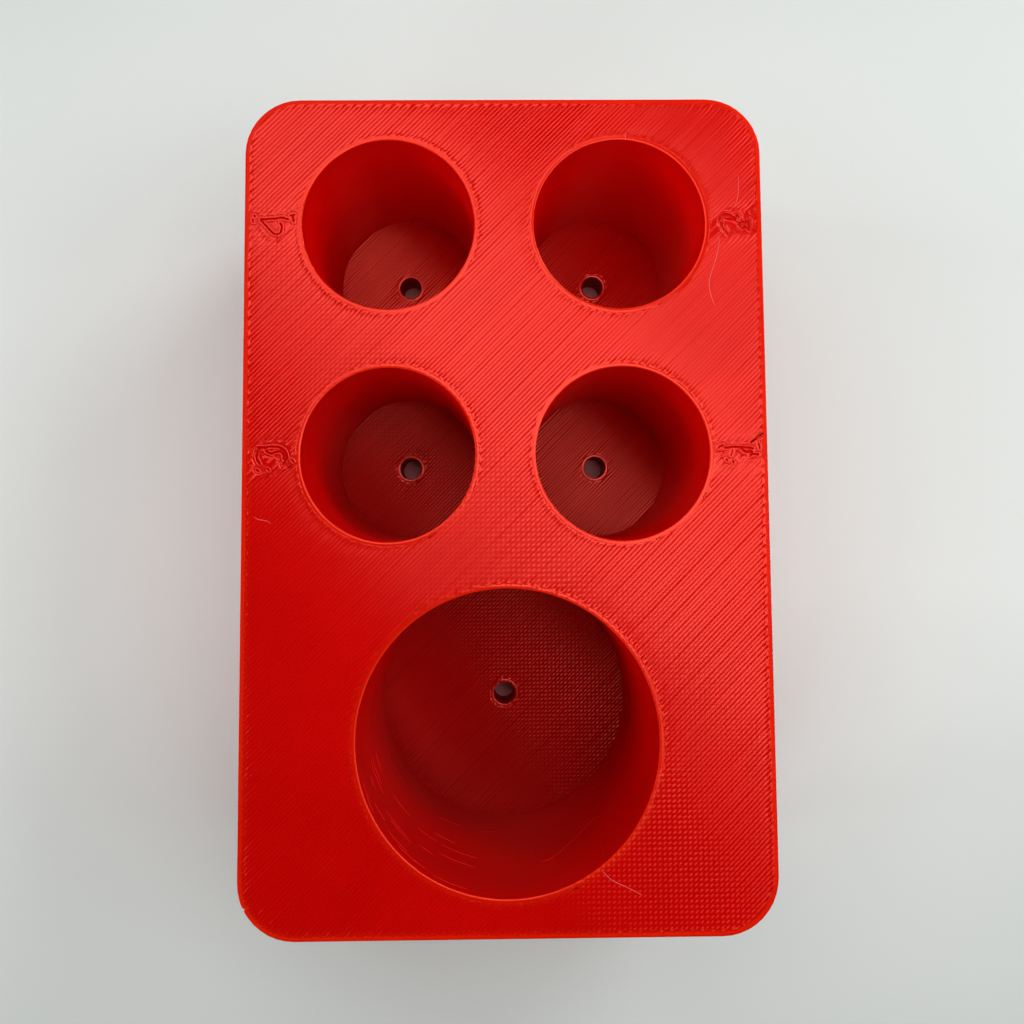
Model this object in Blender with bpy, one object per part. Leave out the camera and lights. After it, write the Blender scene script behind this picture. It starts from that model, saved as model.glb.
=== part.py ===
"""Centrifuge tube rack: one printed block with four small tube bores, one large one and a drain through each floor.

The block stands on Z = 0 with its top face up. X runs across it, and Y along it, towards the small bores.
Lengths are in metres.
"""
import math

import bmesh
import bpy
from mathutils import Matrix

# Bores
SMALL_BORE_DIAMETER = 0.01795     # takes a 15 ml tube
LARGE_BORE_DIAMETER = 0.03065     # takes a 50 ml tube
BORE_DEPTH = 0.0332               # top face down to the flat floor of each bore
DRAIN_DIAMETER = 0.0028           # hole through the middle of each floor

# Walls and webs
SIDE_WALL = 0.00595               # between a small bore and the long side beside it
SMALL_END_WALL = 0.00435          # between the first row and the short side behind it
LARGE_END_WALL = 0.00385          # between the large bore and the short side in front of it
COLUMN_WEB = 0.0062               # between the two small bores of a row
ROW_WEB = 0.0061                  # between the two rows
LARGE_WEB = 0.00475               # between the second row and the large bore, measured along Y
FLOOR_THICKNESS = 0.0068
CORNER_RADIUS = 0.00575           # upright corners of the block

# Pattern of the small bores
COLUMNS = 2
ROWS = 2

# Fineness of the round forms
SMALL_BORE_SEGMENTS = 72
LARGE_BORE_SEGMENTS = 120
CORNER_SEGMENTS = 12

# How far a cutter reaches past the face it opens
CUTTER_OVERRUN = 0.002

# Printed plastic
PLASTIC_COLOR = (0.68, 0.013, 0.008, 1.0)
PLASTIC_ROUGHNESS = 0.38

body_width = 2 * SIDE_WALL + COLUMNS * SMALL_BORE_DIAMETER + (COLUMNS - 1) * COLUMN_WEB
small_rows_length = ROWS * SMALL_BORE_DIAMETER + (ROWS - 1) * ROW_WEB
body_length = SMALL_END_WALL + small_rows_length + LARGE_WEB + LARGE_BORE_DIAMETER + LARGE_END_WALL
body_height = FLOOR_THICKNESS + BORE_DEPTH


def clear_scene():
    for item in list(bpy.data.objects):
        bpy.data.objects.remove(item, do_unlink=True)


def make_material(name, color, roughness):
    material = bpy.data.materials.new(name)
    material.use_nodes = True
    shader = material.node_tree.nodes["Principled BSDF"]
    shader.inputs["Base Color"].default_value = color
    shader.inputs["Roughness"].default_value = roughness
    shader.inputs["Metallic"].default_value = 0.0
    return material


def add_object(name, bm):
    mesh = bpy.data.meshes.new(name)
    bm.to_mesh(mesh)
    bm.free()
    item = bpy.data.objects.new(name, mesh)
    bpy.context.scene.collection.objects.link(item)
    return item


def rounded_outline(width, length, radius, segments):
    """Corner points of a rectangle with round corners, anticlockwise, around the origin."""
    radius = min(radius, 0.49 * width, 0.49 * length)
    points = []
    quarter = math.pi / 2
    for corner, (side_x, side_y) in enumerate(((1, 1), (-1, 1), (-1, -1), (1, -1))):
        centre_x = side_x * (width / 2 - radius)
        centre_y = side_y * (length / 2 - radius)
        for step in range(segments + 1):
            angle = quarter * (corner + step / segments)
            points.append((centre_x + radius * math.cos(angle), centre_y + radius * math.sin(angle)))
    return points


def make_block():
    """The outer form: the rounded outline drawn up from the underside."""
    bm = bmesh.new()
    outline = rounded_outline(body_width, body_length, CORNER_RADIUS, CORNER_SEGMENTS)
    underside = bm.faces.new([bm.verts.new((x, y, 0.0)) for x, y in reversed(outline)])
    raised = bmesh.ops.extrude_face_region(bm, geom=[underside], use_keep_orig=True)
    top_verts = [element for element in raised["geom"] if isinstance(element, bmesh.types.BMVert)]
    bmesh.ops.translate(bm, vec=(0.0, 0.0, body_height), verts=top_verts)
    bmesh.ops.recalc_face_normals(bm, faces=bm.faces)
    return add_object("rack_body", bm)


def make_pocket_cutter(name, bore_diameter, segments, x, y):
    """A bore and its drain as one turned form: a half profile spun about its upright axis."""
    bore_radius = bore_diameter / 2
    drain_radius = DRAIN_DIAMETER / 2
    profile = (
        (0.0, -CUTTER_OVERRUN),
        (drain_radius, -CUTTER_OVERRUN),
        (drain_radius, FLOOR_THICKNESS),
        (bore_radius, FLOOR_THICKNESS),
        (bore_radius, body_height + CUTTER_OVERRUN),
        (0.0, body_height + CUTTER_OVERRUN),
    )
    bm = bmesh.new()
    verts = [bm.verts.new((radius, 0.0, height)) for radius, height in profile]
    edges = [bm.edges.new(pair) for pair in zip(verts[:-1], verts[1:])]
    bmesh.ops.spin(bm, geom=verts + edges, cent=(0, 0, 0), axis=(0, 0, 1), angle=2 * math.pi,
                   steps=segments, use_merge=True)
    bmesh.ops.remove_doubles(bm, verts=bm.verts, dist=1e-6)
    bmesh.ops.recalc_face_normals(bm, faces=bm.faces)
    cutter = add_object(name, bm)
    cutter.matrix_world = Matrix.Translation((x, y, 0.0))
    cutter.hide_render = True
    cutter.display_type = "WIRE"
    return cutter


def pocket_places():
    """Name, bore diameter, segments and centre of each bore, from the small end to the large one."""
    places = []
    row_pitch = SMALL_BORE_DIAMETER + ROW_WEB
    column_pitch = SMALL_BORE_DIAMETER + COLUMN_WEB
    first_row = body_length / 2 - SMALL_END_WALL - SMALL_BORE_DIAMETER / 2
    first_column = -(COLUMNS - 1) * column_pitch / 2
    for row in range(ROWS):
        for column in range(COLUMNS):
            name = f"small_bore_cutter_{row + 1}_{column + 1}"
            x = first_column + column * column_pitch
            y = first_row - row * row_pitch
            places.append((name, SMALL_BORE_DIAMETER, SMALL_BORE_SEGMENTS, x, y))
    large_y = -body_length / 2 + LARGE_END_WALL + LARGE_BORE_DIAMETER / 2
    places.append(("large_bore_cutter", LARGE_BORE_DIAMETER, LARGE_BORE_SEGMENTS, 0.0, large_y))
    return places


def cut(body, cutter):
    modifier = body.modifiers.new(cutter.name, "BOOLEAN")
    modifier.operation = "DIFFERENCE"
    modifier.solver = "EXACT"
    modifier.object = cutter


def build_rack():
    clear_scene()
    body = make_block()
    for name, diameter, segments, x, y in pocket_places():
        cut(body, make_pocket_cutter(name, diameter, segments, x, y))
    body.data.materials.append(make_material("printed_plastic", PLASTIC_COLOR, PLASTIC_ROUGHNESS))
    body.data.shade_smooth()
    body.data.set_sharp_from_angle(angle=math.radians(30))


build_rack()
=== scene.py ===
import math
import random

import bmesh
import bpy
from mathutils import Euler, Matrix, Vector, noise
from mathutils.geometry import delaunay_2d_cdt


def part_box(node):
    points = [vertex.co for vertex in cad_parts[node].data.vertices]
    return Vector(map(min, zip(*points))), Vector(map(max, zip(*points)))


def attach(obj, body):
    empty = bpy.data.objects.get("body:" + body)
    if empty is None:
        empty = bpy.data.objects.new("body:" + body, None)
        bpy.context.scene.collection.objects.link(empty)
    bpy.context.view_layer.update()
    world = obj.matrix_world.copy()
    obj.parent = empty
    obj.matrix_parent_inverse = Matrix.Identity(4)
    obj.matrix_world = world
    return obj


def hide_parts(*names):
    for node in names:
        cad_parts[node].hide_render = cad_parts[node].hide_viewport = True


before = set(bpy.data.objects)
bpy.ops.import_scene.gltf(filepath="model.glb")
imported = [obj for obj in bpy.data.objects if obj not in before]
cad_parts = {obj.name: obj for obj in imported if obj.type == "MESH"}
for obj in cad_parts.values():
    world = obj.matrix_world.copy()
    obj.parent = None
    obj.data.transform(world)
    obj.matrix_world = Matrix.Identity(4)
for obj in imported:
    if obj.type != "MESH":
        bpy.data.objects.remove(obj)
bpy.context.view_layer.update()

# Lengths are in millimetres up to the point where a mesh, lamp or camera is made
mm = 0.001

# The printed block's own sizes, as in the CAD
rack = {
    "smallBoreRadius": 8.975,
    "largeBoreRadius": 15.325,
    "drainRadius": 1.4,
    "floorTop": 6.8,
    "cornerRadius": 5.75,
    "sideWall": 5.95,
    "smallEndWall": 4.35,
    "rowWeb": 6.1,
    "largeEndWall": 3.85,
}

boxLow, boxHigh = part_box("rack_body")
halfWidth = boxHigh[0] / mm
halfLength = boxHigh[1] / mm
blockHeight = boxHigh[2] / mm

smallRadius = rack["smallBoreRadius"]
largeRadius = rack["largeBoreRadius"]
columnX = halfWidth - rack["sideWall"] - smallRadius
farRowY = halfLength - rack["smallEndWall"] - smallRadius
nearRowY = farRowY - 2 * smallRadius - rack["rowWeb"]
largeY = rack["largeEndWall"] + largeRadius - halfLength

# name, centre x, centre y, radius
bores = [
    ("bore4", -columnX, farRowY, smallRadius),
    ("bore2", columnX, farRowY, smallRadius),
    ("bore3", -columnX, nearRowY, smallRadius),
    ("bore1", columnX, nearRowY, smallRadius),
    ("boreLarge", 0.0, largeY, largeRadius),
]

# The photograph's camera, almost straight above
view = {
    "place": (-1.332, -1.369, 157.9),
    "turn": (4.8439, -0.8548, -0.4494),
    "lens": 40.433,
    "sensor": 36.0,
    "shiftX": 0.00161,
    "shiftY": -0.08715,
    "pixels": 1024,          # across the photograph, and down it
    "clipStart": 5.0,
    "clipEnd": 20000.0,
}
viewTurn = Euler([math.radians(turn) for turn in view["turn"]])


# Marks on the rack were read off the photograph, as pixels across and down. They go onto the rack
# along the camera's line of sight, here per unit of depth.
def sightLine(across, down):
    pixels = view["pixels"]
    scale = view["lens"] / view["sensor"] * pixels
    right = (across - pixels / 2 + view["shiftX"] * pixels) / scale
    up = (pixels / 2 - down + view["shiftY"] * pixels) / scale
    return viewTurn.to_matrix() @ Vector((right, up, -1.0))


# The place on the top face, x and y
def onTop(across, down):
    way = sightLine(across, down)
    startX, startY, startZ = view["place"]
    depth = (blockHeight - startZ) / way.z
    return (round(startX + way.x * depth, 2), round(startY + way.y * depth, 2))


# The place on the large bore's wall: degrees from +X, and height against the top face
def onWall(across, down):
    way = sightLine(across, down)
    startX, startY, startZ = view["place"]
    fromBore = startY - largeY
    spread = way.x * way.x + way.y * way.y
    lean = startX * way.x + fromBore * way.y
    room = startX * startX + fromBore * fromBore - largeRadius * largeRadius
    depth = (math.sqrt(lean * lean - spread * room) - lean) / spread
    angle = math.degrees(math.atan2(fromBore + way.y * depth, startX + way.x * depth))
    return (round(angle, 1), round(startZ + way.z * depth - blockHeight, 1))


# How the printer laid the plastic down
printLines = {
    "seed": 27,
    "pitch": 0.3635,         # from one line to the next
    "undersidePitch": 0.4,
    "undersideStep": 12.0,
    "layer": 0.2,
    "halfBead": 0.2,         # half the width of a bead
    "crestCurve": 0.42,      # radius of its crest
    "crestDrop": 0.012,      # tops of the beads below the block's faces
    "drop": 0.012,           # most that a line lies lower than its neighbours
    "roll": 0.07,            # most that a line leans to one side, as a slope
    "wander": 0.014,         # how far a line strays from straight
    "sag": 0.006,
    "width": (0.97, 1.03),   # of a bead against the usual one
    "topAngle": 45,          # degrees from +X, seen from above
    "floorAngle": 45,
    "undersideAngle": -45,
    "reach": 52.0,           # from the middle of the block to past its corners
    "probe": 0.13,           # steps in which a line's ends are looked for
    "shortest": 0.25,
    "endRoom": 0.47,         # from an edge to the middle of a line's end
    "endStray": (-0.05, 0.14),
    "underWall": 0.75,       # how far a floor's lines run on under the wall
    "floorRoundness": 1.3,
    "longestStep": 1.9,      # between two points of a line
    "flatSteps": (0.25, 0.6),    # closer points near the ends of lines longer than flatFrom
    "flatFrom": 1.6,
    "flatCrest": 0.3,        # arch at an end, and how fast it grows inwards
    "archGrowth": 2.5,
    "turnReach": 1.15,       # a longer way to the next line ends the zigzag
    "turnPull": (0.0, 0.06),
    "turnDrop": (0.0, 0.012),
    "turnWidth": 0.9,
    "pinch": (0.25, 0.75),   # width just before a turn
    "pinchFrom": 0.1,
    "pinchTo": 0.35,
}
halfBead = printLines["halfBead"]
topLevel = blockHeight - printLines["crestDrop"]
floorLevel = rack["floorTop"] - printLines["crestDrop"]
underLevel = printLines["crestDrop"]
print("sizes read")


# Signal wraps one output of a material, so that shader maths reads as plain arithmetic
class Signal:
    def __init__(self, finish, socket):
        self.finish = finish
        self.socket = socket

    def maths(self, operation, *others):
        values = dict(enumerate((self,) + others))
        return self.finish.node("ShaderNodeMath", {"operation": operation}, values).signal(0)

    def __add__(self, other):
        return self.maths("ADD", other)

    __radd__ = __add__

    def __sub__(self, other):
        return self.maths("SUBTRACT", other)

    def __rsub__(self, other):
        return (self * -1) + other

    def __mul__(self, other):
        return self.maths("MULTIPLY", other)

    __rmul__ = __mul__

    def __abs__(self):
        return self.maths("ABSOLUTE")

    def atLeast(self, other):
        return self.maths("MAXIMUM", other)

    def atMost(self, other):
        return self.maths("MINIMUM", other)

    def between(self, low, high):
        # 0 at low, 1 at high, smooth on the way
        made = self.finish.node(
            "ShaderNodeMapRange",
            {"interpolation_type": "SMOOTHSTEP"},
            {"Value": self, "From Min": low, "From Max": high},
        )
        return made.signal("Result")

    def over(self, lengths):
        # the same between two lengths in millimetres
        return self.between(lengths[0] * mm, lengths[1] * mm)


class Node:
    def __init__(self, finish, made):
        self.finish = finish
        self.made = made

    def signal(self, output):
        return Signal(self.finish, self.made.outputs[output])


class Finish:
    def __init__(self, name):
        self.material = bpy.data.materials.new(name)
        self.material.use_nodes = True
        self.tree = self.material.node_tree
        self.tree.nodes.clear()

    # Any node: its type, its settings, which go first, and its sockets' values or links
    def node(self, kind, settings=None, sockets=None):
        made = self.tree.nodes.new(kind)
        for setting, value in (settings or {}).items():
            setattr(made, setting, value)
        for socket, value in (sockets or {}).items():
            if isinstance(value, Signal):
                self.tree.links.new(value.socket, made.inputs[socket])
            else:
                made.inputs[socket].default_value = value
        return Node(self, made)

    # The place on the object, whole and as x, y and z
    def place(self):
        whole = self.node("ShaderNodeTexCoord").signal("Object")
        parts = self.node("ShaderNodeSeparateXYZ", {}, {0: whole})
        return whole, parts.signal("X"), parts.signal("Y"), parts.signal("Z")

    def blend(self, first, second, share):
        made = self.node("ShaderNodeMix", {"data_type": "RGBA"}, {0: share, 6: first, 7: second})
        return made.signal(2)

    def noise(self, place, scale, detail=2.0, roughness=0.5, stretch=None):
        if stretch:
            place = self.node(
                "ShaderNodeVectorMath", {"operation": "MULTIPLY"}, {0: place, 1: stretch}
            ).signal(0)
        sockets = {"Vector": place, "Scale": scale, "Detail": detail, "Roughness": roughness}
        return self.node("ShaderNodeTexNoise", {}, sockets).signal("Fac")


# The filament: a saturated red with a satin skin, alike on every piece apart from these values
filament = {
    "deep": (0.5, 0.0003, 0.0002, 1.0),
    "bright": (0.56, 0.0008, 0.0003, 1.0),
    # also the colour of the painted glow near the edges
    "warm": (0.66, 0.012, 0.0004, 1.0),
    # painted shade, between the beads and on the large bore's near side
    "valley": (0.22, 0.0, 0.0, 1.0),
    # painted light on the far row's walls and floors
    "farGlow": (0.95, 0.001, 0.0005, 1.0),
    "glossTint": (1.0, 0.14, 0.105, 1.0),     # a glow of the skin over the red core
    "roughness": 0.16,
    "roughnessSpread": 0.04,
    "dullRoughness": 0.5,        # between the beads
    "dullRefraction": 1.15,
    # how much of each pattern shows
    "grainShare": 0.22,
    "farGlowShare": 0.35,
    "nearShade": 0.45,
    "numeralShine": 0.8,
    "edgeGlow": 0.4,
    "rimGlow": 0.6,
    # sizes of the patterns, per metre
    "cloudScale": 95.0,
    "grainScale": 2600.0,
    "streakScale": 160.0,
    "smearScale": 420.0,
    "skinScale": 5200.0,
    "smudgeScale": 3200.0,
    "strayScale": 500.0,
    "layerStretch": (60.0, 60.0, 5200.0),
    "thicknessStretch": (30.0, 30.0, 900.0),
    # heights of the relief, in metres
    "skinHeight": 0.0000016,
    "rippleHeight": 0.0000105,   # rise and fall of a bead over the lines below it
    "smudgeHeight": 0.000012,
    "layerHeight": 0.000006,
    "layerGroove": 0.000002,
    "thicknessHeight": 0.00005,
    # where each pattern starts and where it is full, in millimetres
    "smudgeReach": (1.4, 0.4),       # from an edge
    "edgeGlowReach": (1.2, 0.1),
    "rimGlowReach": (0.25, 0.1),
    "dullDepth": (0.016, 0.036),     # below the crests
    "grooveDepth": (0.11, 0.14),
    "numeralAcross": (19.8, 21.2),   # from the middle plane
    "numeralAlong": (2.8, 1.4),      # from a row of bores
    "farGlowAlong": (12.0, 26.0),
    "nearShadeAlong": (9.0, -12.0),  # from the large bore's middle
    "nearShadeLevel": (47.0, 33.0),
    "thicknessLevel": (31.0, 39.0),
    "rippleSlant": 0.33,             # of the band where the beads rise and fall most
    "rippleStart": (-16.0, -10.0),
    "rippleEnd": (6.0, 1.0),
    "rippleNear": (6.0, -25.0),
}


# Metres from a point of the top face to its nearest edge, as shader maths
def edgeRoom(finish, place, x, y):
    radius = rack["cornerRadius"] * mm
    pastX = abs(x) - (halfWidth * mm - radius)
    pastY = abs(y) - (halfLength * mm - radius)
    roundX = pastX.atLeast(0)
    roundY = pastY.atLeast(0)
    room = radius - (roundX * roundX + roundY * roundY).maths("SQRT") - pastX.atLeast(pastY).atMost(0)
    for name, boreX, boreY, boreRadius in bores:
        apart = finish.node("ShaderNodeVectorMath", {"operation": "DISTANCE"},
                            {0: place, 1: (boreX * mm, boreY * mm, blockHeight * mm)})
        room = room.atMost(apart.signal("Value") - boreRadius * mm)
    return room


def filamentFinish(name, warmth=0.0, ripple=0.0, rippleAngle=45, layers=0.0, rougher=0.0, edges=False,
                   lightness=1.0, pallor=0.0, refraction=1.95, crest=None, hollow=0.08, dullness=0.7,
                   bore=False):
    finish = Finish(name)
    place, x, y, z = finish.place()
    clouds = finish.noise(place, filament["cloudScale"], 3.0, 0.55)
    grain = finish.noise(place, filament["grainScale"], 2.0, 0.5)
    shade = clouds.between(0.3, 0.7) * (1 - filament["grainShare"]) + grain * filament["grainShare"]
    deep = [part * lightness + pallor for part in filament["deep"][:3]] + [1.0]
    bright = [part * lightness + pallor for part in filament["bright"][:3]] + [1.0]
    color = finish.blend(deep, bright, shade)
    if warmth:
        streaks = finish.noise(place, filament["streakScale"], 2.0, 0.6).between(0.2, 0.8)
        color = finish.blend(color, filament["warm"], streaks * (0.4 * warmth) + 0.6 * warmth)

    smear = finish.noise(place, filament["smearScale"], 3.0, 0.6)
    roughness = (smear - 0.5) * filament["roughnessSpread"] + (filament["roughness"] + rougher)

    if bore:
        # painted shade darkens the large bore's near side, and painted light lightens the far row
        low = (y - largeY * mm).over(filament["nearShadeAlong"]) * z.over(filament["nearShadeLevel"])
        color = finish.blend(color, filament["valley"], low * filament["nearShade"])
        far = y.over(filament["farGlowAlong"]) * filament["farGlowShare"]
        color = finish.blend(color, filament["farGlow"], far)
    if crest:
        # between the beads less light gets in, so painted shade darkens the colour there
        valley = z.over([crest - depth for depth in filament["dullDepth"]])
        if edges:
            # the ragged ground round the numerals shines too and takes less painted shade, but not their
            # grooves, which take the full painted shade
            inRow = abs(abs(y - (farRowY + nearRowY) / 2 * mm) - (farRowY - nearRowY) / 2 * mm)
            nearNumeral = inRow.over(filament["numeralAlong"]) * abs(x).over(filament["numeralAcross"])
            groove = z.over([crest - depth for depth in filament["grooveDepth"]])
            valley = (valley * (1 - nearNumeral * filament["numeralShine"])).atLeast(groove)
        color = finish.blend(color, filament["valley"], valley * hollow)

    relief = finish.noise(place, filament["skinScale"], 2.0, 0.6) * filament["skinHeight"]
    if ripple:
        # each bead rises and falls over the lines below it, and its neighbours do so in turn
        turn = math.pi / (printLines["pitch"] * mm)
        angle = math.radians(rippleAngle)
        along = x * math.cos(angle) + y * math.sin(angle)
        across = y * math.cos(angle) - x * math.sin(angle)
        stray = finish.noise(place, filament["strayScale"], 1.0, 0.5) * 0.9
        wave = (along * turn + stray).maths("SINE") * (across * turn).maths("COSINE")
        # most in a slanting band through the middle, and more towards the near right corner
        slant = along - across * filament["rippleSlant"]
        band = slant.over(filament["rippleStart"]) * slant.over(filament["rippleEnd"]) * 0.8 + 0.2
        share = (across.over(filament["rippleNear"]) * 0.6 + 0.4) * band
        relief = wave * share * (filament["rippleHeight"] * ripple) + relief
    if edges:
        # near its edges and numerals the top is smudged, and near its edges and bore rims a painted glow
        # warms and lightens it, for light through the thin plastic
        room = edgeRoom(finish, place, x, y)
        smudge = room.over(filament["smudgeReach"]).atLeast(nearNumeral)
        blots = finish.noise(place, filament["smudgeScale"], 2.0, 0.6)
        relief = blots * smudge * filament["smudgeHeight"] + relief
        glow = room.over(filament["edgeGlowReach"]) * filament["edgeGlow"]
        glow = room.over(filament["rimGlowReach"]) * filament["rimGlow"] + glow
        color = finish.blend(color, filament["warm"], glow)
    if layers:
        turn = 2 * math.pi / (printLines["layer"] * mm)
        bands = finish.noise(place, 1.0, 2.0, 0.6, filament["layerStretch"])
        relief = bands * (filament["layerHeight"] * layers) + relief
        relief = (z * turn).maths("SINE") * (filament["layerGroove"] * layers) + relief
    if bore:
        # thicker and thinner layers show as bands near the mouths
        steps = finish.noise(place, 1.0, 2.0, 0.5, filament["thicknessStretch"])
        steps = steps * z.over(filament["thicknessLevel"])
        relief = steps * filament["thicknessHeight"] + relief

    bump = finish.node("ShaderNodeBump", {}, {"Strength": 1.0, "Distance": 1.0, "Height": relief})

    def skin(skinRoughness, skinRefraction):
        return finish.node("ShaderNodeBsdfPrincipled", {}, {
            "Base Color": color,
            "Roughness": skinRoughness,
            "Normal": bump.signal(0),
            "IOR": skinRefraction,
            "Specular Tint": filament["glossTint"],
        }).signal(0)

    surface = skin(roughness, refraction)
    if crest:
        # and the skin there has no gloss
        dull = skin(filament["dullRoughness"], filament["dullRefraction"])
        mixed = finish.node("ShaderNodeMixShader", {}, {0: valley * dullness, 1: surface, 2: dull})
        surface = mixed.signal(0)
    finish.node("ShaderNodeOutputMaterial", {}, {"Surface": surface})
    return finish.material


topFinish = filamentFinish("redFilamentTop", ripple=1.0, rippleAngle=printLines["topAngle"], edges=True,
                           refraction=2.2, crest=topLevel)
# painted glow: the outermost bead is warmer and lighter, for light through the thin edge, with random
# streaks in it
edgeFinish = filamentFinish("redFilamentEdge", warmth=0.8, rougher=0.12, refraction=1.35)
stringFinish = filamentFinish("redFilamentString", lightness=1.25, pallor=0.12)
# the wall's strings are lighter than the wall; the short arcs among them are painted highlights of its
# layer lines
wallStringAndHighlightFinish = filamentFinish("redFilamentWallStringAndHighlight", lightness=1.7, pallor=0.01, refraction=1.5)
# painted light: the bores' walls are lighter than the top, for light that the plastic lets through and that
# bounces round the bores
wallFinish = filamentFinish("redFilamentWall", layers=1.0, rougher=0.04, lightness=1.58, bore=True)
sideFinish = filamentFinish("redFilamentSide", layers=1.0, warmth=0.25)
# painted shade: the floors are darker than the top, deep in the bores, and darker still between their beads
floorFinish = filamentFinish("redFilamentFloor", ripple=1.1, rippleAngle=printLines["floorAngle"],
                             lightness=0.84, refraction=2.1, crest=floorLevel, hollow=0.4,
                             dullness=1.0, bore=True)
coreFinish = filamentFinish("redFilamentCore", rougher=0.08, crest=topLevel, hollow=0.15,
                            dullness=1.0, edges=True)
underFinish = filamentFinish("redFilamentUnder", rougher=-0.06)
print("finishes made")


def addObject(name, data):
    made = bpy.data.objects.new(name, data)
    bpy.context.scene.collection.objects.link(made)
    return made


# Every piece is part of the printed block
def placePiece(name, data):
    piece = addObject(name, data)
    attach(piece, "root")
    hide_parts("rack_body")
    return piece


def addPiece(name, verts, faces, material, sharpAngle=None):
    mesh = bpy.data.meshes.new(name)
    mesh.from_pydata([(x * mm, y * mm, z * mm) for x, y, z in verts], [], faces)
    mesh.materials.append(material)
    if sharpAngle:
        shell = bmesh.new()
        shell.from_mesh(mesh)
        bmesh.ops.recalc_face_normals(shell, faces=shell.faces)
        shell.to_mesh(mesh)
        shell.free()
    mesh.shade_smooth()
    if sharpAngle:
        mesh.set_sharp_from_angle(angle=math.radians(sharpAngle))
    triangles = sum(len(face) - 2 for face in faces)
    print(f"{name}: {triangles} triangles")
    return placePiece(name, mesh)


# How far a point of the top lies inside the rack's outline
def outlineRoom(x, y):
    pastX = abs(x) - halfWidth + rack["cornerRadius"]
    pastY = abs(y) - halfLength + rack["cornerRadius"]
    if pastX > 0 and pastY > 0:
        return rack["cornerRadius"] - math.hypot(pastX, pastY)
    return rack["cornerRadius"] - max(pastX, pastY)


def circle(centreX, centreY, radius, steps):
    turns = [math.radians(360 * step / steps) for step in range(steps)]
    return [(centreX + radius * math.cos(turn), centreY + radius * math.sin(turn)) for turn in turns]


# Position numerals, engraved a quarter turn to the left. They came out ragged, so that their narrow
# grooves follow the marks in the photograph.
numerals = {
    "halfWidth": 0.09,       # of a groove
    "depth": 0.2,
    "rimWidth": 0.5,         # of the beads round the grooves, against other beads
    "rimDrop": 0.006,
    "rimStray": 0.02,
    "overlap": 0.1,          # how much nearer to them other lines end
    "near": 4.0,             # from a numeral's middle to where it no longer counts
    "gridReach": 3.2,
    "gridStep": 0.07,
    "marks": {               # along the middles of the grooves, in the photograph's pixels
        "4": [
            [(260, 219.5), (268, 219.2), (275, 218.8), (281, 217.6), (284, 218.2), (288.3, 219.5)],
            [(261, 221), (265, 225), (269.5, 230), (273, 233.5), (277, 234.6), (280, 233), (281.4, 229.5),
             (281.6, 225.5), (280, 223)],
            [(293, 217), (293.5, 221.5)],
            [(290, 215.5), (294.2, 214.8)],
            [(254, 215.5), (255, 216.3)],
            [(252.5, 219.5), (253, 222)],
        ],
        "3": [
            [(262, 448), (257.7, 451), (255.8, 456), (257, 460.5), (259.5, 464.3)],
            [(258, 447.6), (264, 447.8), (270.5, 447), (277, 447), (281, 448.4), (284, 450.5), (286, 454),
             (286.6, 458.5), (285, 461.5), (282.5, 465)],
            [(265, 450.8), (268, 453), (272, 454.4), (275, 452.5), (280, 451.6), (283, 455), (283, 459)],
            [(267.5, 469.5), (268.5, 471)],
            [(256.5, 470.5), (258, 471.5)],
            [(292, 460.5), (293, 462)],
        ],
        "2": [
            [(719.7, 221), (720.2, 217), (723.5, 214), (728, 213.6), (732, 215.5), (736, 218.2)],
            [(725.5, 218), (730, 219), (735.5, 220.3)],
            [(722.3, 222.5), (722, 226), (724, 229), (726.3, 231)],
            [(737, 214), (739, 216.5)],
            [(736, 221.2), (740, 223)],
            [(741.5, 218.5), (743, 221.5), (745.5, 221.5)],
            [(739, 225), (742, 227.6), (745.5, 226)],
            [(748.6, 219), (749.4, 224), (748.8, 229.5)],
            [(736.2, 230), (737, 230.5)],
            [(727, 232.3), (727.8, 233)],
            [(751, 211.8), (753.5, 210)],
        ],
        "1": [
            [(725, 447.5), (735, 446.6), (744, 446.8), (753.5, 448)],
            [(732.6, 450.5), (731, 455)],
            [(742, 448.8), (744, 450.6), (747, 451.5), (752, 451)],
            [(750, 455.2), (751.2, 453.2), (758.6, 454)],
            [(758.6, 443), (760, 448)],
            [(718.5, 447.5), (723, 444.6)],
            [(726.6, 459.2), (727.4, 460)],
            [(733, 461), (734, 462)],
        ],
    },
}

segments = {}
middles = {}
for digit, marks in numerals["marks"].items():
    lines = [[onTop(*mark) for mark in line] for line in marks]
    segments[digit] = [pair for line in lines for pair in zip(line[:-1], line[1:])]
    corners = [point for line in lines for point in line]
    middles[digit] = [sum(corner[axis] for corner in corners) / len(corners) for axis in (0, 1)]


def strokeDistance(digit, x, y):
    nearest = 9.0
    for (x0, y0), (x1, y1) in segments[digit]:
        spanX = x1 - x0
        spanY = y1 - y0
        share = ((x - x0) * spanX + (y - y0) * spanY) / (spanX * spanX + spanY * spanY + 1e-9)
        share = min(1.0, max(0.0, share))
        nearest = min(nearest, math.hypot(x - x0 - share * spanX, y - y0 - share * spanY))
    return nearest


# Room round a point of the top face, up to the nearest edge of the outline, a bore or a numeral
def topRoom(x, y):
    room = outlineRoom(x, y)
    for name, boreX, boreY, radius in bores:
        room = min(room, math.hypot(x - boreX, y - boreY) - radius)
    if room > 0:
        for digit, middle in middles.items():
            if max(abs(x - middle[0]), abs(y - middle[1])) < numerals["near"]:
                room = min(room, strokeDistance(digit, x, y) - numerals["halfWidth"] + numerals["overlap"])
    return room


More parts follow.
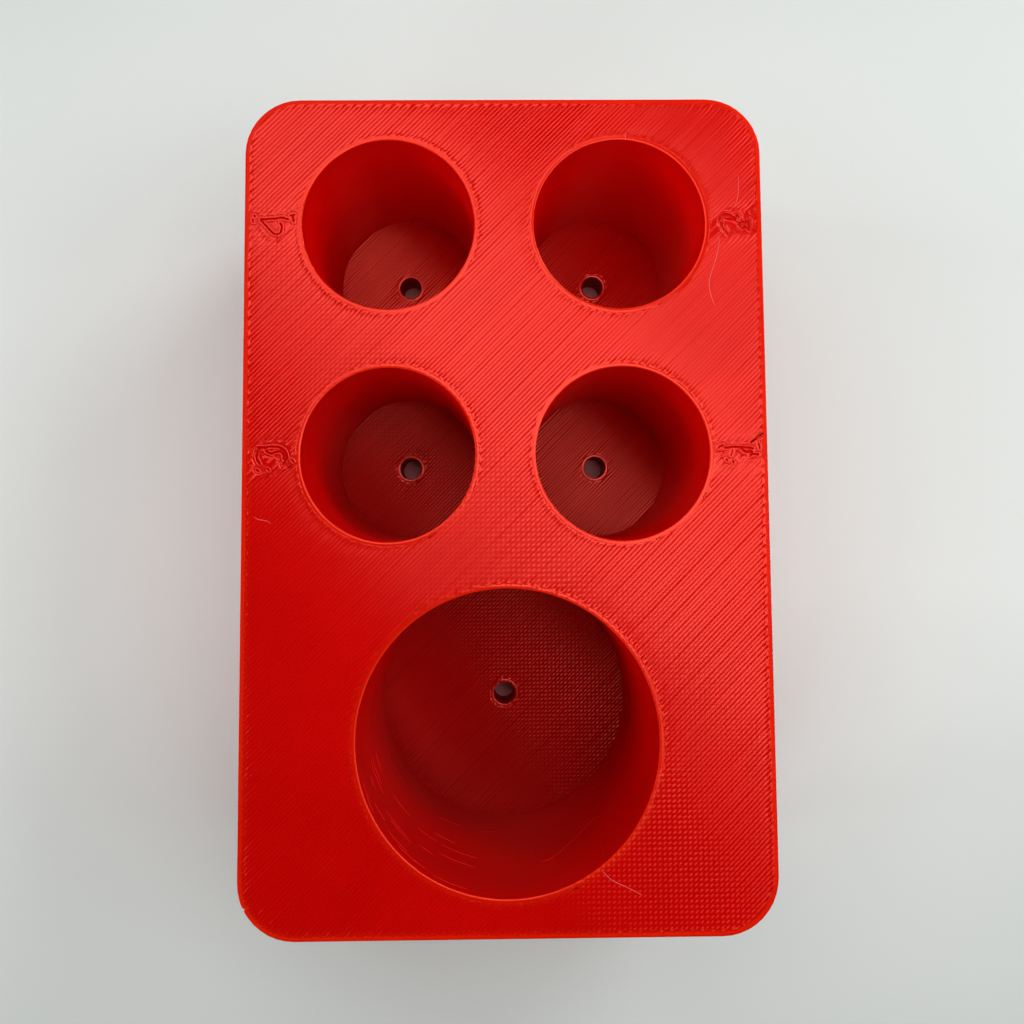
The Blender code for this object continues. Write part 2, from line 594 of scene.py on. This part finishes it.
# Closed lines where a field has one value, found on a square grid
def contours(field, middle, reach, step, level):
    count = int(2 * reach / step) + 1
    startX = middle[0] - reach
    startY = middle[1] - reach
    grid = [[field(startX + i * step, startY + j * step) - level for j in range(count)]
            for i in range(count)]
    links = {}
    for i in range(count - 1):
        for j in range(count - 1):
            edges = (((i, j), (i + 1, j)), ((i + 1, j), (i + 1, j + 1)),
                     ((i, j + 1), (i + 1, j + 1)), ((i, j), (i, j + 1)))
            cut = [edge for edge in edges
                   if (grid[edge[0][0]][edge[0][1]] < 0) != (grid[edge[1][0]][edge[1][1]] < 0)]
            for first, second in zip(cut[::2], cut[1::2]):
                links.setdefault(first, []).append(second)
                links.setdefault(second, []).append(first)
    rings = []
    while links:
        edge = next(iter(links))
        ring = []
        while edge in links:
            ring.append(edge)
            ahead = [other for other in links.pop(edge) if other in links]
            if not ahead:
                break
            edge = ahead[0]
        points = []
        for (i0, j0), (i1, j1) in ring:
            share = grid[i0][j0] / (grid[i0][j0] - grid[i1][j1])
            points.append((startX + (i0 + share * (i1 - i0)) * step,
                           startY + (j0 + share * (j1 - j0)) * step))
        if len(points) > 8:
            rings.append(points)
    return rings


def numeralRings(outset):
    rings = []
    for digit, middle in middles.items():
        rings += contours(lambda x, y: strokeDistance(digit, x, y), middle, numerals["gridReach"],
                          numerals["gridStep"], outset)
    return rings


# The rack's outline, with closer points round the seam at one corner
seam = {
    "angle": 207,          # on the near left corner, degrees from +X
    "halfAngle": 2.4,
    "steps": (-2.2, -1.1, -0.6, 0.0, 0.6, 1.1, 2.2),     # points round it, in half angles
    "notch": 0.17,
}


def outlineRing(inset, cornerSteps=10, sideSteps=7, seamDepth=0.0):
    radius = rack["cornerRadius"] - inset
    reachX = halfWidth - rack["cornerRadius"]
    reachY = halfLength - rack["cornerRadius"]
    ring = []
    corners = ((1, 1, 0), (-1, 1, 90), (-1, -1, 180), (1, -1, 270))
    for number, (sideX, sideY, start) in enumerate(corners):
        angles = [start + 90 * step / cornerSteps for step in range(cornerSteps + 1)]
        if number == 2:
            angles += [seam["angle"] + seam["halfAngle"] * share for share in seam["steps"]]
            angles = sorted(set(angles))
        for angle in angles:
            reach = radius
            if number == 2:
                away = abs(angle - seam["angle"]) / seam["halfAngle"]
                if away < 1:
                    reach -= seamDepth * (1 - away * away)
            turn = math.radians(angle)
            ring.append((sideX * reachX + reach * math.cos(turn), sideY * reachY + reach * math.sin(turn)))
        nextX, nextY, nextStart = corners[(number + 1) % 4]
        turn = math.radians(nextStart)
        aheadX = nextX * reachX + radius * math.cos(turn)
        aheadY = nextY * reachY + radius * math.sin(turn)
        lastX, lastY = ring[-1]
        for step in range(1, sideSteps):
            share = step / sideSteps
            ring.append((lastX + share * (aheadX - lastX), lastY + share * (aheadY - lastY)))
    return ring


# The upright walls
walls = {
    "thickness": 0.45,
    "sideGroove": 0.045,     # between two layers
    "boreGroove": 0.03,
    "grooveSpread": (0.75, 1.2),
    "crestInset": 0.012,     # of a layer from the CAD's wall
    "crestLimits": (0.002, 0.03),
    "slowStray": 0.004,      # from one layer to the next, on top of what is left of the last one's
    "strayKept": 0.8,
    "quickStray": 0.006,
    "footInset": 0.09,
    "brimInset": 0.07,
    "brimDrop": 0.05,        # below the crests of the top
    "footDrop": 0.1,         # below the crests of a floor
    "smallSteps": 64,        # corners round a small bore's wall and along its rim's bead
    "smallRimSteps": 72,
    "largeSteps": 96,
    "largeRimSteps": 110,
}


# A closed skin whose shown side is a stack of printed layers. ringAt gives its points at an inset.
def layeredSkin(name, ringAt, start, material, dice, groove, facesIn=False):
    end = topLevel - walls["brimDrop"]
    layer = printLines["layer"]
    least, most = walls["crestLimits"]
    rows = [(walls["footInset"], start)]
    strayed = 0.0
    for number in range(round((end - start) / layer)):
        strayed = walls["strayKept"] * strayed + dice.uniform(-walls["slowStray"], walls["slowStray"])
        crest = walls["crestInset"] + strayed + dice.uniform(-walls["quickStray"], walls["quickStray"])
        crest = min(most, max(least, crest))
        if number:
            rows.append((crest + groove * dice.uniform(*walls["grooveSpread"]), start + number * layer))
        rows.append((crest, start + (number + 0.5) * layer))
    rows += [(walls["brimInset"], end), (walls["thickness"], end), (walls["thickness"], start)]
    verts = []
    for inset, z in rows:
        verts += [(x, y, z) for x, y in ringAt(inset)]
    size = len(verts) // len(rows)
    faces = []
    for row in range(len(rows)):
        above = (row + 1) % len(rows)
        for spot in range(size):
            ahead = (spot + 1) % size
            face = (row * size + spot, row * size + ahead, above * size + ahead, above * size + spot)
            faces.append(face[::-1] if facesIn else face)
    return addPiece(name, verts, faces, material)


# Beads drawn along paths of (x, y, z, roll, width, arch). A low arch makes a flat crest.
def beads(name, paths, section, material, closed=False, flip=1):
    verts = []
    faces = []
    size = len(section)
    for path in paths:
        base = len(verts)
        count = len(path)
        for spot, (x, y, z, roll, width, arch) in enumerate(path):
            before = path[spot - 1] if closed or spot else None
            after = path[(spot + 1) % count] if closed or spot < count - 1 else None
            inX, inY = (x - before[0], y - before[1]) if before else (after[0] - x, after[1] - y)
            outX, outY = (after[0] - x, after[1] - y) if after else (inX, inY)
            inLength = math.hypot(inX, inY) or 1.0
            outLength = math.hypot(outX, outY) or 1.0
            wayX = inX / inLength + outX / outLength
            wayY = inY / inLength + outY / outLength
            length = math.hypot(wayX, wayY)
            if length < 0.4:
                wayX, wayY, length = inX, inY, inLength
                mitre = 1.0
            else:
                mitre = min(1.3, 2 / length)
            sideX = -wayY / length * mitre * width * flip
            sideY = wayX / length * mitre * width * flip
            for across, rise in section:
                lift = rise * (arch if rise > -0.09 else 1) + across * roll
                verts.append((x + sideX * across, y + sideY * across, z + lift * flip))
        for spot in range(count if closed else count - 1):
            here = base + spot * size
            there = base + (spot + 1) % count * size
            for corner in range(size):
                ahead = (corner + 1) % size
                faces.append((here + corner, here + ahead, there + ahead, there + corner))
        if not closed:
            faces.append(tuple(base + corner for corner in reversed(range(size))))
            faces.append(tuple(base + (count - 1) * size + corner for corner in range(size)))
    piece = addPiece(name, verts, faces, material)
    piece.data.set_sharp_from_angle(angle=math.radians(50))
    return piece


# A bead's section: across and up from its crest, from the left side over the top, then the hidden bottom
topPart = [(across, -across * across / (2 * printLines["crestCurve"]))
           for across in (0.2, 0.1, 0.0, -0.1, -0.2)]
beadSection = topPart + [(-0.2, -0.1), (0.2, -0.1)]
# the outermost bead's outer side falls away in a soft edge, and its inner side runs on under the lines
edgeSection = [(0.3, -0.03), (0.12, -0.003), (-0.04, 0.0), (-0.13, -0.03), (-0.185, -0.085), (-0.2, -0.15),
               (0.3, -0.15)]
flatSection = ((0.19, -0.014), (0.13, 0.0), (-0.13, 0.0), (-0.19, -0.014), (-0.21, -0.06), (0.21, -0.06))


# Stretches of a straight line that keep their room
def clearSpans(roomAt, originX, originY, wayX, wayY, reach, room):
    step = printLines["probe"]

    def gap(way):
        return roomAt(originX + wayX * way, originY + wayY * way) - room

    def crossing(outside, inside):
        for attempt in range(7):
            middle = (outside + inside) / 2
            if gap(middle) > 0:
                inside = middle
            else:
                outside = middle
        return inside

    spans = []
    start = None
    way = -reach
    while way <= reach:
        if gap(way) > 0:
            if start is None:
                start = crossing(way - step, way)
        elif start is not None:
            end = crossing(way, way - step)
            if end - start > printLines["shortest"]:
                spans.append((start, end))
            start = None
        way += step
    return spans


# Zigzags of lines over a face: each line turns into the next one where their ends are close
def zigzags(roomAt, middle, reach, level, angle, dice, jitter=1.0, step=printLines["longestStep"],
            pitch=printLines["pitch"], roundness=1.0):
    shortEnd, longEnd = printLines["endStray"]
    firstFlat, lastFlat = printLines["flatSteps"]
    alongX = math.cos(math.radians(angle))
    alongY = math.sin(math.radians(angle))
    count = int(reach / pitch)
    going = []
    paths = []
    for number in range(-count, count + 1):
        originX = middle[0] - alongY * number * pitch
        originY = middle[1] + alongX * number * pitch
        drop = dice.random() ** 2 * printLines["drop"] * jitter
        roll = dice.uniform(-1, 1) * printLines["roll"] * jitter
        width = dice.uniform(*printLines["width"])
        following = []
        for low, high in clearSpans(roomAt, originX, originY, alongX, alongY, reach, printLines["endRoom"]):
            low += dice.uniform(shortEnd, longEnd)
            high += dice.uniform(-longEnd, -shortEnd)
            match = None
            for chain in going:
                end = high if chain["side"] > 0 else low
                if abs(end - chain["tip"]) < printLines["turnReach"]:
                    match = chain
                    break
            if match:
                going.remove(match)
                side = -match["side"]
                path = match["path"]
            else:
                side = 1 if number % 2 else -1
                path = []
                paths.append(path)
            first, last = (low, high) if side > 0 else (high, low)
            steps = max(1, math.ceil(abs(last - first) / step))
            ways = [first + (last - first) * spot / steps for spot in range(steps + 1)]
            if abs(last - first) > printLines["flatFrom"]:
                # closer points near the ends, where the bead is pressed flat
                ways[1:1] = [first + side * firstFlat, first + side * lastFlat]
                ways[-1:-1] = [last - side * lastFlat, last - side * firstFlat]
            if match:
                # the turn's outer point, a little short of the straight way across
                lastX, lastY = path[-1][:2]
                nextX = originX + alongX * first
                nextY = originY + alongY * first
                pull = dice.uniform(*printLines["turnPull"]) * side
                turnLevel = level - dice.uniform(*printLines["turnDrop"])
                path.append(((lastX + nextX) / 2 + alongX * pull, (lastY + nextY) / 2 + alongY * pull,
                             turnLevel, 0.0, printLines["turnWidth"], 1.0))
            for way in ways:
                inward = min(abs(way - first), abs(way - last))
                arch = min(1.0, printLines["flatCrest"] + printLines["archGrowth"] * inward)
                # just before its turns a line is thin, which leaves a row of pits along the edges
                thin = printLines["pinchFrom"] < inward < printLines["pinchTo"]
                pinch = dice.uniform(*printLines["pinch"]) if thin else 1.0
                stray = noise.noise(Vector((way * 0.22, number * 0.61, 3.0))) * printLines["wander"] * 2
                sag = noise.noise(Vector((way * 0.35, number * 0.37, 9.0))) * printLines["sag"] * jitter
                x = originX + alongX * way - alongY * stray
                y = originY + alongY * way + alongX * stray
                path.append((x, y, level - drop + min(0.0, sag), roll, width * pinch, arch * roundness))
            following.append({"path": path, "side": side, "tip": last})
        going = following
    return [path for path in paths if len(path) > 1]


# A closed bead's path along a ring
def loopPath(ring, level, dice, spread=0.006, arch=0.6, width=1.0, drop=0.008):
    return [(x + dice.uniform(-spread, spread), y + dice.uniform(-spread, spread),
             level - dice.random() * drop, 0.0, width * dice.uniform(*printLines["width"]), arch)
            for x, y in ring]


dice = random.Random(printLines["seed"])

# The solid inside the printed skins. It lies just under them, and carries the grooves of the numerals.
core = {
    "inset": 0.16,
    "underLines": 0.095,     # from the crests of the lines down to it
    "overUnderside": 0.05,
    "grooveRoom": 0.03,      # from a groove's side to its bead's
    "boreSteps": 72,
    "drainSteps": 28,
}


def encloses(ring, point):
    inside = False
    for (x0, y0), (x1, y1) in zip(ring, ring[1:] + ring[:1]):
        if (y0 > point.y) != (y1 > point.y) and point.x < x0 + (point.y - y0) * (x1 - x0) / (y1 - y0):
            inside = not inside
    return inside


def makeCore():
    verts = []
    faces = []

    def lay(ring, z):
        start = len(verts)
        verts.extend((x, y, z) for x, y in ring)
        return list(range(start, len(verts)))

    def wall(lower, upper):
        for spot in range(len(lower)):
            ahead = (spot + 1) % len(lower)
            faces.append((lower[spot], lower[ahead], upper[ahead], upper[spot]))

    def cap(laid):
        flat = [index for ring in laid for index in ring]
        rings = [[verts[index][:2] for index in ring] for ring in laid]
        edges = []
        for ring in rings:
            start = len(edges)
            edges += [(start + spot, start + (spot + 1) % len(ring)) for spot in range(len(ring))]
        corners = [Vector(verts[index][:2]) for index in flat]
        drawn = delaunay_2d_cdt(corners, edges, [], 0, 1e-6)
        for triangle in drawn[2]:
            middle = sum((drawn[0][corner] for corner in triangle), Vector((0.0, 0.0))) / 3
            if sum(encloses(ring, middle) for ring in rings) % 2:
                faces.append(tuple(flat[drawn[3][corner][0]] for corner in triangle))

    top = topLevel - core["underLines"]
    floor = floorLevel - core["underLines"]
    under = underLevel + core["overUnderside"]
    outline = outlineRing(core["inset"], sideSteps=1)
    topRings = [lay(outline, top)]
    underRings = [lay(outline, under)]
    wall(underRings[0], topRings[0])
    for name, boreX, boreY, radius in bores:
        rim = circle(boreX, boreY, radius + core["inset"], core["boreSteps"])
        drain = circle(boreX, boreY, rack["drainRadius"], core["drainSteps"])
        topRings.append(lay(rim, top))
        floorRim = lay(rim, floor)
        floorDrain = lay(drain, floor)
        underRings.append(lay(drain, under))
        wall(floorRim, topRings[-1])
        wall(underRings[-1], floorDrain)
        cap([floorRim, floorDrain])
    grooveRings = []
    for ring in numeralRings(numerals["halfWidth"] + core["grooveRoom"]):
        topRings.append(lay(ring, top))
        grooveRings.append(lay(ring, blockHeight - numerals["depth"]))
        wall(grooveRings[-1], topRings[-1])
    cap(topRings)
    cap(underRings)
    cap(grooveRings)
    return addPiece("rackCore", verts, faces, coreFinish, sharpAngle=35)


makeCore()

layeredSkin("rackSides", lambda inset: outlineRing(inset, seamDepth=seam["notch"]), 0.0, sideFinish,
            random.Random(3), walls["sideGroove"])

for number, (name, boreX, boreY, radius) in enumerate(bores):
    steps = walls["largeSteps"] if radius == largeRadius else walls["smallSteps"]
    layeredSkin(name + "Wall", lambda inset: circle(boreX, boreY, radius + inset, steps),
                floorLevel - walls["footDrop"], wallFinish, random.Random(20 + number),
                walls["boreGroove"], facesIn=True)

topPaths = zigzags(topRoom, (0.0, 0.0), printLines["reach"], topLevel, printLines["topAngle"], dice)
beads("topLines", topPaths, beadSection, topFinish)

outerLoop = [loopPath(outlineRing(halfBead, seamDepth=seam["notch"]), topLevel, dice)]
beads("outlineLoop", outerLoop, edgeSection, edgeFinish, closed=True)
rimLoops = []
for name, boreX, boreY, radius in bores:
    steps = walls["largeRimSteps"] if radius == largeRadius else walls["smallRimSteps"]
    rimLoops.append(loopPath(circle(boreX, boreY, radius + halfBead, steps), topLevel, dice)[::-1])
beads("boreLoops", rimLoops, edgeSection, topFinish, closed=True)
numeralLoops = [loopPath(ring[::2], topLevel - numerals["rimDrop"], dice, numerals["rimStray"],
                         printLines["flatCrest"], numerals["rimWidth"])
                for ring in numeralRings(numerals["halfWidth"] + numerals["rimWidth"] * halfBead)]
beads("numeralLoops", numeralLoops, beadSection, topFinish, closed=True)

drainRings = [circle(boreX, boreY, rack["drainRadius"] + halfBead, core["drainSteps"])
              for name, boreX, boreY, radius in bores]
floorPaths = []
drainLoops = []
for (name, boreX, boreY, radius), drainRing in zip(bores, drainRings):
    def floorRoom(x, y):
        away = math.hypot(x - boreX, y - boreY)
        # the lines run on under the wall, and stop short of the drain's own bead
        return min(radius + printLines["underWall"] - away, away - rack["drainRadius"])
    floorPaths += zigzags(floorRoom, (boreX, boreY), radius + 1, floorLevel, printLines["floorAngle"], dice,
                          roundness=printLines["floorRoundness"])
    drainLoops.append(loopPath(drainRing, floorLevel, dice))
beads("floorLines", floorPaths, beadSection, floorFinish)
beads("drainLoops", drainLoops, beadSection, floorFinish, closed=True)


def undersideRoom(x, y):
    room = outlineRoom(x, y)
    for name, boreX, boreY, radius in bores:
        room = min(room, math.hypot(x - boreX, y - boreY) - rack["drainRadius"])
    return room


underPaths = zigzags(undersideRoom, (0.0, 0.0), printLines["reach"], underLevel,
                     printLines["undersideAngle"], dice, jitter=0.0, step=printLines["undersideStep"],
                     pitch=printLines["undersidePitch"])
beads("undersideLines", underPaths, flatSection, underFinish, flip=-1)
underLoops = [loopPath(ring, underLevel, dice, 0.0)
              for ring in [outlineRing(halfBead, sideSteps=2)] + drainRings]
beads("undersideLoops", underLoops, flatSection, underFinish, closed=True, flip=-1)
print("printed lines laid")

# Fine strings of plastic that the nozzle left behind, and short arcs on the large bore's wall that stand in
# for highlights of its layer lines: painted highlights
strings = {
    "radius": 0.035,
    "wallShare": 0.7,        # thickness of the wall's strings against the others
    "thinEnd": 0.5,
    "lift": 0.02,            # over the crests of the top
    "wallRoom": 0.03,
    "topMarks": [            # along each string, in the photograph's pixels
        [(738, 175), (739.5, 190), (738, 200), (734, 208)],
        [(720, 237), (718.5, 248), (717, 257), (711, 273), (708, 284), (711, 297), (715, 305)],
        [(254, 517), (257, 519.5), (262, 520), (268, 521), (271, 524)],
        [(602, 870), (608, 878), (616, 883), (629, 888), (642, 895)],
        [(626, 132), (625, 137), (625.5, 140)],
    ],
    "wallMarks": [
        [(597, 818), (599, 830), (602, 846), (605, 860)],
        [(531, 848), (535, 858), (540, 863), (552, 860), (570, 843), (595, 818)],
        [(440, 818), (450, 822), (460, 826)],
        [(480, 832), (500, 832)],
        [(403, 803), (402.5, 808), (402, 813)],
        [(583, 822), (592, 817), (602, 816)],
    ],
    # short ones, nearly level, on the large bore's near left side: painted highlights of its layer lines
    "arcs": 18,
    "arcSeed": 11,
    "arcStarts": (-170, -118),       # degrees from +X
    "arcLengths": (5, 16),
    "arcDepth": 1.2,         # least, below the top face
    "arcDepthSpread": 15,
    "arcSlope": 0.03,
}


def addStrings(name, paths, radius, material):
    data = bpy.data.curves.new(name, "CURVE")
    data.dimensions = "3D"
    data.bevel_depth = radius * mm
    data.bevel_resolution = 1
    data.use_fill_caps = True
    data.resolution_u = 6
    for path in paths:
        spline = data.splines.new("NURBS")
        spline.points.add(len(path) - 1)
        for point, (x, y, z) in zip(spline.points, path):
            point.co = (x * mm, y * mm, z * mm, 1.0)
        spline.points[0].radius = strings["thinEnd"]
        spline.points[-1].radius = strings["thinEnd"]
        spline.order_u = min(4, len(path))
        spline.use_endpoint_u = True
    data.materials.append(material)
    print(f"{name}: {len(paths)} strings")
    return placePiece(name, data)


def wallPath(turns):
    reach = largeRadius - strings["wallRoom"]
    return [(reach * math.cos(math.radians(angle)), largeY + reach * math.sin(math.radians(angle)),
             blockHeight + depth) for angle, depth in turns]


def highlightArcs():
    stray = random.Random(strings["arcSeed"])
    arcs = []
    for number in range(strings["arcs"]):
        start = stray.uniform(*strings["arcStarts"])
        length = stray.uniform(*strings["arcLengths"])
        depth = -strings["arcDepth"] - strings["arcDepthSpread"] * stray.random() ** 1.4
        slope = stray.uniform(-strings["arcSlope"], strings["arcSlope"])
        arcs.append(wallPath([(start + length * share / 4, depth + slope * length * share / 4)
                              for share in range(5)]))
    return arcs


topStrings = [[(*onTop(*mark), topLevel + strings["lift"]) for mark in marks]
              for marks in strings["topMarks"]]
addStrings("topStrings", topStrings, strings["radius"], stringFinish)
wallStringsAndHighlights = [wallPath([onWall(*mark) for mark in marks]) for marks in strings["wallMarks"]] + highlightArcs()
addStrings("wallStringsAndHighlights", wallStringsAndHighlights, strings["radius"] * strings["wallShare"], wallStringAndHighlightFinish)

cameraData = bpy.data.cameras.new("photoCamera")
cameraData.lens = view["lens"]
cameraData.sensor_width = view["sensor"]
cameraData.shift_x = view["shiftX"]
cameraData.shift_y = view["shiftY"]
cameraData.clip_start = view["clipStart"] * mm
cameraData.clip_end = view["clipEnd"] * mm
camera = addObject("photoCamera", cameraData)
camera.location = [length * mm for length in view["place"]]
camera.rotation_euler = viewTurn
bpy.context.scene.camera = camera

# A pale sheet under the rack
sheet = {
    "halfSize": 1500,
    "drop": 0.1,             # below the rack's underside
    "color": (0.815, 0.86, 0.83, 1.0),
    # painted red light and shade under the rack
    "under": (0.66, 0.2, 0.2, 1.0),
    "underAcross": (25.5, 24.5),
    "underAlong": (40.5, 39.5),
    "roughness": 0.7,
    "tone": 0.965,           # painted shade: darker to the right and past both ends of the rack
    "toneRight": 0.9,        # per metre
    "toneEnds": 2.4,
    "toneMiddle": -0.01,
    "toneLimits": (0.7, 1.0),
    "mottleScale": 30.0,
    "mottle": 0.02,
}
sheetFinish = Finish("paleSheet")
sheetPlace, sheetX, sheetY = sheetFinish.place()[:3]
sheetEnds = abs(sheetY - sheet["toneMiddle"]) * sheet["toneEnds"]
sheetTone = sheet["tone"] - sheetX * sheet["toneRight"] - sheetEnds
sheetTone = sheetTone.atLeast(sheet["toneLimits"][0]).atMost(sheet["toneLimits"][1])
mottle = sheetFinish.noise(sheetPlace, sheet["mottleScale"], 3.0, 0.5)
sheetTone = sheetTone + mottle * sheet["mottle"]
sheetColor = sheetFinish.blend((0.0, 0.0, 0.0, 1.0), sheet["color"], sheetTone)
# under the rack it is painted redder and darker: painted red light and shade, for the light that the
# plastic lets through
under = abs(sheetX).over(sheet["underAcross"]) * abs(sheetY).over(sheet["underAlong"])
sheetColor = sheetFinish.blend(sheetColor, sheet["under"], under)
sheetShader = sheetFinish.node("ShaderNodeBsdfPrincipled", {}, {
    "Base Color": sheetColor,
    "Roughness": sheet["roughness"],
})
sheetFinish.node("ShaderNodeOutputMaterial", {}, {"Surface": sheetShader.signal(0)})
half = sheet["halfSize"] * mm
sheetLevel = -sheet["drop"] * mm
sheetCorners = [(-half, -half, sheetLevel), (half, -half, sheetLevel), (half, half, sheetLevel),
                (-half, half, sheetLevel)]
sheetMesh = bpy.data.meshes.new("paleSheet")
sheetMesh.from_pydata(sheetCorners, [], [(0, 1, 2, 3)])
sheetMesh.materials.append(sheetFinish.material)
addObject("paleSheet", sheetMesh)

# Soft panels over the far right half, two low ones opposite, and a dim room
studio = {
    "world": (0.85, 0.92, 1.0),
    "worldStrength": 0.034,
    "overheadLevel": 200.0,
    "overheadTurn": 45.0,     # degrees from +X
    # name: (nearest and farthest along the diagonal, leftmost and rightmost across it, brightness)
    "overhead": {
        "middlePanel1": (-8.0, 8.0, -50.0, 50.0, 0.45),
        "middlePanel2": (8.0, 30.0, -50.0, 50.0, 1.4),
        "middlePanel3": (30.0, 60.0, -50.0, 50.0, 1.22),
        "middlePanel4": (170.0, 280.0, -50.0, 50.0, 3.3),
        "leftPanel0": (-30.0, -8.0, 65.0, 125.0, 1.1),
        "leftPanel1": (-8.0, 30.0, 50.0, 160.0, 0.68),
        "leftPanel2": (30.0, 110.0, 50.0, 160.0, 0.77),
        "leftPanel3": (-8.0, 60.0, 160.0, 400.0, 0.29),
        "rightPanel0": (-28.0, 8.0, -120.0, -45.0, 0.45),
        "rightPanel1": (8.0, 60.0, -160.0, -50.0, 0.46),
        "rightPanel2": (60.0, 170.0, -160.0, -50.0, 1.3),
    },
    # name: (place, side, brightness)
    "low": {
        "lowLeftPanel": ((-424.0, 0.0, 295.0), 220.0, 1.56),
        "lowNearPanel": ((-300.0, -300.0, 295.0), 220.0, 0.89),
        "lowRightPanel": ((424.0, 0.0, 295.0), 220.0, 0.36),
    },
    "aim": (0.0, 0.0, 30.0),
    "wattsPerArea": 10.0,     # a panel of brightness 1, per square metre
}


def addPanel(name, place, length, width, brightness):
    lamp = bpy.data.lights.new(name, "AREA")
    lamp.shape = "RECTANGLE"
    lamp.size = length * mm
    lamp.size_y = width * mm
    lamp.energy = brightness * studio["wattsPerArea"] * lamp.size * lamp.size_y
    panel = addObject(name, lamp)
    panel.location = [part * mm for part in place]
    return panel


diagonal = math.sqrt(0.5)
startX, startY, startZ = view["place"]
for name, (near, far, left, right, brightness) in studio["overhead"].items():
    along = (near + far) / 2
    across = (left + right) / 2
    place = (startX + diagonal * (along - across), startY + diagonal * (along + across),
             studio["overheadLevel"])
    panel = addPanel(name, place, far - near, right - left, brightness)
    panel.rotation_euler = (0.0, 0.0, math.radians(studio["overheadTurn"]))
for name, (place, side, brightness) in studio["low"].items():
    panel = addPanel(name, place, side, side, brightness)
    panel.rotation_euler = (Vector(studio["aim"]) - Vector(place)).to_track_quat("-Z", "Y").to_euler()

world = bpy.data.worlds.new("studio")
world.use_nodes = True
world.node_tree.nodes["Background"].inputs["Color"].default_value = (*studio["world"], 1.0)
world.node_tree.nodes["Background"].inputs["Strength"].default_value = studio["worldStrength"]
bpy.context.scene.world = world
bpy.context.scene.view_settings.view_transform = "Standard"
print("studio set")
